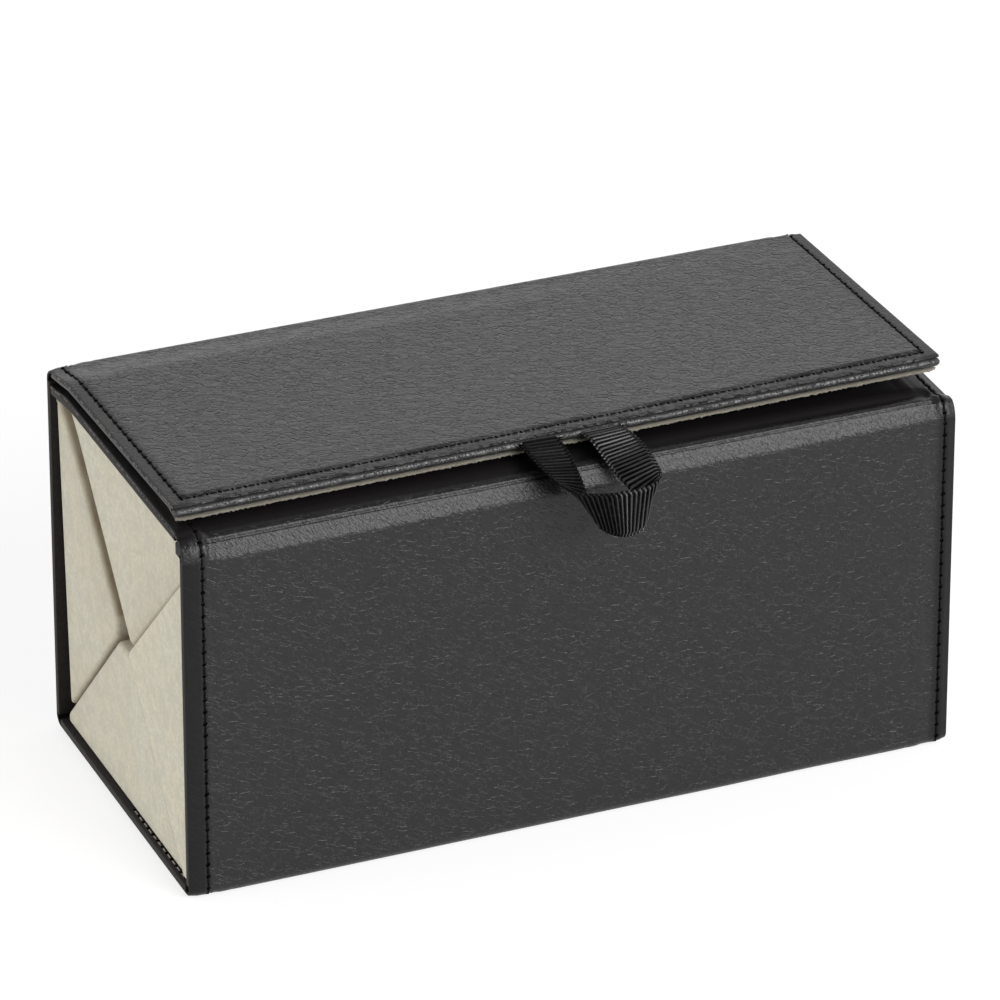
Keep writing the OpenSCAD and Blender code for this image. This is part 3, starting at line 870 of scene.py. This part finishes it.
def rounded(points, r, steps=5):
    """A convex outline with rounded corners, and points close enough along its sides to settle."""
    n, out = len(points), []
    for i in range(n):
        a, p, b = (np.array(points[j % n]) for j in (i - 1, i, i + 1))
        u, w = (a - p) / np.linalg.norm(a - p), (b - p) / np.linalg.norm(b - p)
        half = math.acos(np.clip(u @ w, -1, 1)) / 2
        run = min(r / math.tan(half), 0.4 * np.linalg.norm(a - p), 0.4 * np.linalg.norm(b - p))
        for k in range(steps + 1):
            f = k / steps
            out.append(tuple((1 - f) ** 2 * (p + u * run) + 2 * f * (1 - f) * p
                             + f ** 2 * (p + w * run)))
        q = np.array(points[(i + 1) % n])
        start, span = p + w * run, q - p
        for k in range(1, 12):
            out.append(tuple(start + (np.linalg.norm(span) - 2 * run) * k / 12 * w))
    return out


# How far in mm the ends stand in from the panel ends: at the top, and at the bottom
RECESS = {"top_tray": (3.6, 3.6), "front_tray": (0.8, 0.8), "bottom_tray": (1.6, 1.6),
          "back_tray": (1.6, 2.3)}

# Edges of the ends where shade is painted onto the suede, tinted brown like soiling: tray, the edge's
# direction in Y and Z, how dark, and how far the tone spreads in mm
JOINTS = [("back_tray", (1, 1.27), 0.4, 1.8), ("back_tray", (1, 1.27), 0.95, 0.5),
          ("back_tray", (1, -0.99), 0.35, 1.2), ("top_tray", (1, -0.993), 0.55, 1.2),
          ("top_tray", (1, 1.27), 0.35, 0.6), ("front_tray", (1, 1.2), 0.12, 0.8),
          ("bottom_tray", (1, -0.99), 0.6, 0.8)]


def joint_shade_and_soil(tray, base, verts):
    """Painted shade along the joints, tinted brown like soiling and broken up a little."""
    v = np.array(verts)[:, 1:]
    out = np.zeros(len(v))
    patchy = 0.8 + 0.4 * wavy(0 * v[:, 0], v[:, 0], v[:, 1], 4 * MM, 1.7)
    edges = [(np.array(base[i - 1]), np.array(base[i])) for i in range(len(base))]
    for name, direction, dark, spread in JOINTS:
        for p, q in edges:
            t = (q - p) / np.linalg.norm(q - p)
            along = abs(t @ np.array(direction)) / math.hypot(*direction)
            if name == tray and along > math.cos(math.radians(8)):
                away = np.abs((v[:, 0] - p[0]) * t[1] - (v[:, 1] - p[1]) * t[0]) / MM
                out = np.maximum(out, dark * patchy * np.exp(-away / spread))
    return np.clip(out, 0, 1)


def depth_in(shape, y, z):
    """How far a point is inside a convex outline; negative outside it."""
    best = 1.0
    for p, q in zip(shape, shape[1:] + shape[:1]):
        t = Vector((q[0] - p[0], q[1] - p[1])).normalized()
        best = min(best, -t.y * (y - p[0]) + t.x * (z - p[1]))
    return best


bodies_of = frame["record"]["behaviour"]["bodies"]
body_of_node = {n: b for b, names in bodies_of.items() for n in names}
TRAYS = ("top_tray", "front_tray", "bottom_tray", "back_tray")
RIM = 1.5 * MM                            # radius of the rolled rim
FACE_GRID = 2.2 * MM                      # spacing of the points on the crowned face


def tray_end(tray, end):
    """A suede-covered end board: rolled rim, softly crowned face."""
    name = f"{tray}_{end}"
    lo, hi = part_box(name)
    side = -1 if lo.x < 0 else 1
    inner_x = hi.x if side < 0 else lo.x
    high, low = RECESS[tray]

    def face_x(z):
        share = (z - FOLD_R) / (Z_LID - FOLD_R)
        return side * (HALF_W - (low + (high - low) * share) * MM)

    base = outline_of(name)
    if tray in ("bottom_tray", "back_tray"):
        base = [(y - 3.5 * MM * float(smooth((y - 40 * MM) / (18 * MM))) * (1 - z / Z_LID), z)
                for y, z in base]
    # The flat inner face, then the rim
    loops, verts = [], []
    for a in np.radians([0, 18, 36, 54, 72, 90]):
        d = RIM * (1 - math.cos(a)) + 0.12 * MM
        loops.append(rounded(inset(base, d), max(0.4 * MM, 1.3 * MM - d)))
        if not verts:
            verts = [(inner_x, y, z) for y, z in loops[0]]
        verts += [(face_x(z) - side * RIM * (1 - math.sin(a)), y, z) for y, z in loops[-1]]
    count = len(loops[0])
    faces = ring_faces(1 + len(loops), count, caps=False) + [tuple(range(count))]
    # The crowned face: scattered points inside the last loop, triangulated
    points = [Vector(p) for p in loops[-1]]
    ys, zs = zip(*points)
    shape = inset(base, RIM + 1.6 * MM)
    for i, y in enumerate(np.arange(min(ys), max(ys), FACE_GRID)):
        for z in np.arange(min(zs) + (i % 2) * FACE_GRID / 2, max(zs), FACE_GRID):
            if depth_in(shape, y, z) > 0:
                points.append(Vector((y, z)))
    border = [(i, (i + 1) % count) for i in range(count)]
    made = geometry.delaunay_2d_cdt(points, border, [list(range(count))], 1, 1e-7)
    remap = {}
    start = len(loops) * count
    for i, p in enumerate(made[0]):
        source = made[3][i][0] if made[3][i] else -1
        if 0 <= source < count:
            remap[i] = start + source
        else:
            crown = 0.32 * MM * float(smooth(depth_in(shape, p.x, p.y) / (9 * MM)))
            crown += 0.10 * MM * noise.noise(Vector((p.x / (9 * MM), p.y / (9 * MM), side)))
            remap[i] = len(verts)
            verts.append((face_x(p.y) + side * crown, p.x, p.y))
    faces += [[remap[i] for i in f] for f in made[2]]
    # The end's suede gets painted shade, tinted brown like soiling, along its joints
    obj = new_piece(name + "_board", verts, faces, SUEDE, {"shade_and_soil": joint_shade_and_soil(tray, base, verts)},
                    angle=75)
    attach(obj, body_of_node[name])
    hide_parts(name)


for tray in TRAYS:
    for end in ("left_end", "right_end"):
        tray_end(tray, end)


# Solids that stop short of the rounded corner: the axis, the limit there, the share of what is
# past the limit that stays past it, and how much further back the limit is at the drooping right end
TUCKS = {"front_board": (2, Z_LID - 8.5 * MM, 0.1, 0), "front_liner": (2, Z_LID - 7.2 * MM, 0, 0),
         "inner_lid_board": (1, Y_FRONT + 13 * MM, 0.1, 0),
         "inner_lid_liner": (1, Y_FRONT + 6.8 * MM, 0, 2.5 * MM),
         "top_tray_floor": (1, Y_FRONT + 8 * MM, 0, 0), "top_tray_lip": (1, Y_FRONT + 8 * MM, 0, 0)}


def tuck(name, co):
    """Draw a solid back to its limit: in Z from above, in Y from the front."""
    axis, limit, stays, right_end = TUCKS[name]
    limit = limit + right_end * smooth((co[:, 0] - 60 * MM) / (40 * MM))
    drawn = np.minimum if axis == 2 else np.maximum
    co[:, axis] = drawn(co[:, axis], limit + stays * (co[:, axis] - limit))


def adopt(name, finish, bevel):
    """A CAD solid carried over as a piece: sliced so that it can settle, with eased edges."""
    lo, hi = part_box(name)
    bm = bmesh.new()
    bm.from_mesh(frame["nodes"][name].data)
    bmesh.ops.remove_doubles(bm, verts=bm.verts, dist=1e-6)
    bmesh.ops.dissolve_limit(bm, angle_limit=math.radians(1), verts=bm.verts, edges=bm.edges)
    sharp = [e for e in bm.edges if len(e.link_faces) == 2
             and e.calc_face_angle(0) > math.radians(40)]
    bmesh.ops.bevel(bm, geom=sharp, offset=bevel, segments=2, profile=0.6, affect="EDGES",
                    clamp_overlap=True)
    for axis, step in ((0, 14 * MM), (1, 16 * MM), (2, 20 * MM)):
        normal = Vector((axis == 0, axis == 1, axis == 2))
        count = int((hi[axis] - lo[axis]) / step)
        for i in range(1, count):
            at = lo[axis] + (hi[axis] - lo[axis]) * i / count
            bmesh.ops.bisect_plane(bm, geom=bm.verts[:] + bm.edges[:] + bm.faces[:],
                                   plane_co=normal * at, plane_no=normal)
    bmesh.ops.triangulate(bm, faces=[f for f in bm.faces if len(f.verts) > 4])
    verts = np.array([v.co for v in bm.verts])
    index = {v: i for i, v in enumerate(bm.verts)}
    faces = [[index[v] for v in f.verts] for f in bm.faces]
    # Each face starts at its lowest vertex, so that every run gives the same mesh
    faces = sorted(f[f.index(min(f)):] + f[:f.index(min(f))] for f in faces)
    bm.free()
    if name in TUCKS:
        tuck(name, verts)
    hide = np.column_stack([verts[:, 0], verts[:, 1] + verts[:, 2], 0 * verts[:, 0]])
    obj = new_piece(name + "_piece", verts, faces, finish, {"hide": hide}, angle=40)
    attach(obj, body_of_node[name])
    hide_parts(name)


for name in ("bottom_board", "front_board", "inner_lid_board", "back_board", "flap_board"):
    adopt(name, BOARD, 0.15 * MM)
for name in ("bottom_liner", "front_liner", "inner_lid_liner", "back_liner"):
    adopt(name, INNER, 0.35 * MM)
for name in ("closure_plates", "flap_magnets"):
    adopt(name, STEEL, 0.1 * MM)
adopt("ribbon_tails", RIBBON, 0.1 * MM)
for tray in TRAYS:
    dividers = ("divider",) if tray == "back_tray" else ("divider_1", "divider_2")
    for part in ("floor", "wall", "lip") + dividers:
        adopt(f"{tray}_{part}", SUEDE, 0.5 * MM)


# Padded rolls that hold rings: foam under suede, drawn in at their ends
def roll_swell(x, a):
    return 0.985 + 0.015 * noise.noise(Vector((x / (5 * MM), math.cos(a), math.sin(a))))


def ring_roll(name):
    lo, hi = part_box(name)
    centre, r = ((lo.y + hi.y) / 2, (lo.z + hi.z) / 2), (hi.y - lo.y) / 2
    rings, sides = 60, 28
    co, _ = rod_along_x(lo.x, hi.x, centre, (r, r), rings, sides, 3.5 * MM, 0.04, roll_swell)
    obj = new_piece(name + "_pad", co, ring_faces(rings, sides), SUEDE, angle=80)
    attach(obj, "back")
    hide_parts(name)


for i in range(1, 7):
    ring_roll(f"ring_roll_{i}")


# ---------- ribbon pull ----------
# Pairs of points on the ribbon's outer and inner edge, in mm from the middle of the pull at
# the flap's front edge: along X, forward (-Y), and up from the flap's underside
PAIRS = [((-15.3, 3.0, 1.0), (-3.2, 3.0, 1.0)), ((-15.1, -1.0, 0.9), (-3.1, -1.0, 0.6)),
         ((-14.6, -6.0, 0.1), (-2.6, -5.5, -1.2)), ((-13.6, -13.0, -1.0), (-2.3, -10.5, -3.8)),
         ((-12.2, -19.5, -1.8), (-2.3, -15.2, -6.4)), ((-10.4, -23.4, -2.4), (-2.4, -20.0, -10.3)),
         ((-7.8, -24.9, -3.2), (-2.0, -24.9, -14.4)), ((-3.6, -25.1, -4.2), (-0.3, -26.6, -16.2)),
         ((1.2, -24.4, -5.4), (2.4, -27.4, -17.5)), ((6.2, -23.4, -6.2), (4.9, -27.8, -18.0)),
         ((11.0, -23.2, -6.5), (8.0, -27.3, -18.0)), ((14.2, -24.2, -5.2), (11.4, -25.9, -17.2)),
         ((16.0, -25.3, -3.4), (12.6, -22.4, -14.5)), ((16.9, -24.4, -2.2), (11.0, -18.0, -10.6)),
         ((17.4, -20.6, -1.4), (8.6, -15.2, -7.4)), ((17.7, -15.2, -0.7), (6.8, -12.6, -4.7)),
         ((17.4, -9.0, 0.0), (5.6, -8.6, -2.3)), ((16.4, -4.0, 0.8), (4.3, -4.4, 0.2)),
         ((15.5, -1.0, 0.9), (3.3, -1.0, 0.7)), ((15.3, 3.0, 1.0), (3.0, 3.0, 1.0))]
RIB = 1.3 * MM


def make_ribbon():
    anchor = np.array([(pull_lo.x + pull_hi.x) / 2, FLAP_FRONT, FLAP_LOW + 0.75 * MM])
    outer, inner = (spline([pair[i] for pair in PAIRS], 24) * MM + anchor for i in (0, 1))
    middle = (outer + inner) / 2
    length = lengths_along(middle)
    at = np.linspace(0, length[-1], int(length[-1] / RIB * 9))
    outer, inner, middle = (sampled(at, length, line) for line in (outer, inner, middle))
    f = np.linspace(0, 1, 31)
    grid = outer[:, None, :] * (1 - f)[None, :, None] + inner[:, None, :] * f[None, :, None]
    normal = np.cross(np.gradient(grid, axis=0), np.gradient(grid, axis=1))
    normal /= np.linalg.norm(normal, axis=2)[:, :, None]
    # Ribs across the band, set off by half a pitch in its two woven edges
    edge = np.minimum(f, 1 - f) * RIBBON_W
    selvedge = (1 - smooth((edge - 0.5 * MM) / (0.5 * MM)))[None, :]
    wave = np.cos(2 * math.pi * at[:, None] / RIB + math.pi * 0.9 * selvedge)
    height = 0.25 * MM * wave * (1 - 0.15 * selvedge)
    half_t = (0.24 - 0.06 * selvedge) * MM
    up = grid + normal * (half_t + height)[:, :, None]
    down = grid - normal * (half_t - height)[:, :, None]
    loop = np.concatenate([up, down[:, ::-1]], axis=1)
    rows, cols = loop.shape[:2]
    width = np.broadcast_to(np.concatenate([f, f[::-1]]) * RIBBON_W, (rows, cols))
    hide = np.stack([width, at[:, None] + 0 * width, 0 * width], -1)
    # The left leg is in the flap's shade: painted shade makes its ribs darker and less glossy
    leg_light = 0.45 + 0.55 * smooth((middle[:, :1] - anchor[0] - 1 * MM) / (7 * MM))
    rib_shading = np.concatenate([(0.5 + 0.5 * wave) * leg_light, (0.5 - 0.5 * wave)[:, ::-1] * leg_light], axis=1)
    obj = new_piece("ribbon_loop_band", loop.reshape(-1, 3), ring_faces(rows, cols), RIBBON,
                    {"hide": hide.reshape(-1, 3), "rib_shading": rib_shading.ravel()}, settled=False, angle=80)
    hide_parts("pull_ribbon")
    return obj, length[-1]


ribbon, ribbon_length = make_ribbon()
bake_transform(ribbon)

# ---------- leather over the two hinges ---------------------
for piece in (back_fold, low_thread):
    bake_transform(piece)
for piece in (flap_fold, high_thread):
    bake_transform(piece)

# ---------- floor, light and camera ----------
floor_mesh = bpy.data.meshes.new("floor")
floor_mesh.from_pydata([(-6, -6, 0), (6, -6, 0), (6, 6, 0), (-6, 6, 0)], [], [(0, 1, 2, 3)])
floor = bpy.data.objects.new("floor", floor_mesh)
bpy.context.scene.collection.objects.link(floor)
floor_mat, floor_tree, floor_bsdf = material("pale_floor")
set_inputs(floor_tree, floor_bsdf, {"Base Color": (0.32, 0.32, 0.32, 1), "Roughness": 0.8,
                                    "Specular IOR Level": 0.1, "Emission Color": (1, 1, 1, 1),
                                    "Emission Strength": FLOOR_GLOW})
floor_mesh.materials.append(floor_mat)

# The studio: a bright backdrop behind the object, a dim room on the camera's side, and a large
# soft box high in front
world = bpy.data.worlds.new("studio")
world.use_nodes = True
sky = world.node_tree
heading = node(sky, "ShaderNodeTexCoord").outputs["Generated"]
axes = node(sky, "ShaderNodeSeparateXYZ", {0: heading}).outputs
behind = ranged(sky, axes["Y"], -0.35, 0.55, ROOM, BACKDROP)
overhead = ranged(sky, axes["Z"], 0.45, 0.9, 1.0, CEILING)
strength = times(sky, behind, overhead)
sky.links.new(strength, sky.nodes["Background"].inputs["Strength"])
sky.nodes["Background"].inputs["Color"].default_value = (1, 1, 1, 1)
bpy.context.scene.world = world
bpy.context.scene.view_settings.view_transform = "Standard"


def soft_box(name, azimuth, elevation, distance, size, radiance):
    """A soft box aimed at the object; azimuth in degrees from -Y towards +X."""
    az, el = math.radians(azimuth), math.radians(elevation)
    place = Vector((math.sin(az) * math.cos(el), -math.cos(az) * math.cos(el), math.sin(el)))
    data = bpy.data.lights.new(name, "AREA")
    data.shape = "RECTANGLE"
    data.size, data.size_y = size
    data.energy = radiance * math.pi * size[0] * size[1]
    obj = bpy.data.objects.new(name, data)
    obj.location = centre + place * distance
    obj.rotation_euler = (-place).to_track_quat("-Z", "Y").to_euler()
    bpy.context.scene.collection.objects.link(obj)


centre = Vector((0, 0, Z_LID / 2))
soft_box("key_box", *KEY)
soft_box("side_box", *SIDE)

camera_data = bpy.data.cameras.new("camera")
camera_data.lens = 290
camera_data.sensor_width = 36
camera_data.clip_end = 30
camera = bpy.data.objects.new("camera", camera_data)
bpy.context.scene.collection.objects.link(camera)
bpy.context.scene.camera = camera
CAMERA_AZ, CAMERA_EL, CAMERA_DISTANCE = math.radians(22.61), math.radians(27.91), 2.26171
target = Vector((-0.00017, (Y_FRONT + Y_BACK) / 2, 0.07515))
forward = Vector((math.sin(CAMERA_AZ) * math.cos(CAMERA_EL), math.cos(CAMERA_AZ) * math.cos(CAMERA_EL),
                  -math.sin(CAMERA_EL)))
camera.location = target - forward * CAMERA_DISTANCE
camera.rotation_euler = forward.to_track_quat("-Z", "Y").to_euler()
